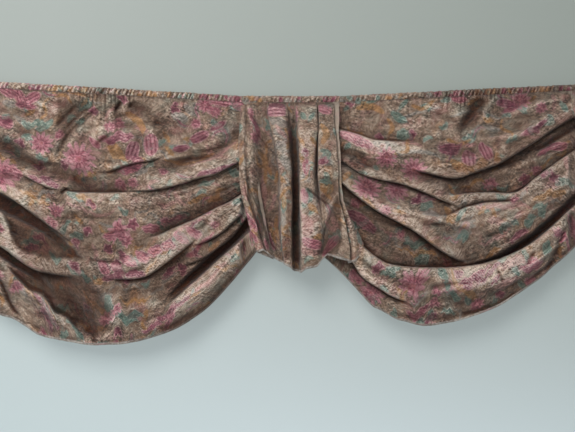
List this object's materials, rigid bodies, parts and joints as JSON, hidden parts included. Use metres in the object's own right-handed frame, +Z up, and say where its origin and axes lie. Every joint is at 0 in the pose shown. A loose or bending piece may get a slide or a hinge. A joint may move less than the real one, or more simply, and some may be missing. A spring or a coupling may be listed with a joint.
{
  "type": "swag and tail valance",
  "caption": "Printed fabric window valance with draped swags and pleated tails, gathered on a taut curtain wire with screw eyes at its ends.",
  "frame": {"origin": "middle of the wire's level run, on its centre line inside the centre casing", "axes": "+X along the wire to the right as seen from the room, +Y to the wall, -Y to the room, +Z up"},
  "size_m": [1.748, 0.0697, 0.5305],
  "materials": {
    "print_fabric": "matt printed cotton",
    "casing_fabric": "matt printed cotton, gathered",
    "hem_fabric": "rolled and overlocked edge",
    "gathering_tape": "woven cotton tape",
    "wire_steel": "coiled spring wire",
    "eye_steel": "zinc plated",
    "wire_sheath": "smooth plastic sleeve"
  },
  "bodies": {
    "wire_and_swags": {"hanging_wire_core": "wire_steel", "hanging_wire_sheath": "wire_sheath", "screw_eye_left": "eye_steel", "screw_eye_right": "eye_steel", "left_swag_casing": "casing_fabric", "left_swag_panel": "print_fabric", "left_swag_hem": "hem_fabric", "left_swag_outer_tape": "gathering_tape", "left_swag_inner_tape": "gathering_tape", "right_swag_casing": "casing_fabric", "right_swag_panel": "print_fabric", "right_swag_hem": "hem_fabric", "right_swag_inner_tape": "gathering_tape", "right_swag_outer_tape": "gathering_tape"},
    "center_tail": {"center_tail_casing": "casing_fabric", "center_tail_panel": "print_fabric", "center_tail_hem": "hem_fabric"},
    "left_tail_header": {"left_tail_casing": "casing_fabric"},
    "left_tail": {"left_tail_panel": "print_fabric", "left_tail_hem": "hem_fabric"},
    "right_tail_header": {"right_tail_casing": "casing_fabric"},
    "right_tail": {"right_tail_panel": "print_fabric", "right_tail_hem": "hem_fabric"}
  },
  "joints": [
    {"name": "center_tail_swing", "type": "hinge", "parent": "wire_and_swags", "child": "center_tail", "pos_m": [0, 0, 0], "axis": [-1, 0, 0], "range_deg": [0, 80]},
    {"name": "left_tail_slide", "type": "slide", "parent": "wire_and_swags", "child": "left_tail_header", "axis": [-0.9983, 0, 0.0583], "range_m": [0, 0.02]},
    {"name": "left_tail_swing", "type": "hinge", "parent": "left_tail_header", "child": "left_tail", "pos_m": [-0.6733, 0, 0.03366], "axis": [-0.9983, 0, 0.0583], "range_deg": [0, 80]},
    {"name": "right_tail_slide", "type": "slide", "parent": "wire_and_swags", "child": "right_tail_header", "axis": [0.9988, 0, 0.0489], "range_m": [0, 0.02]},
    {"name": "right_tail_swing", "type": "hinge", "parent": "right_tail_header", "child": "right_tail", "pos_m": [0.5573, 0, 0.02255], "axis": [-0.9988, 0, -0.0489], "range_deg": [0, 80]}
  ]
}
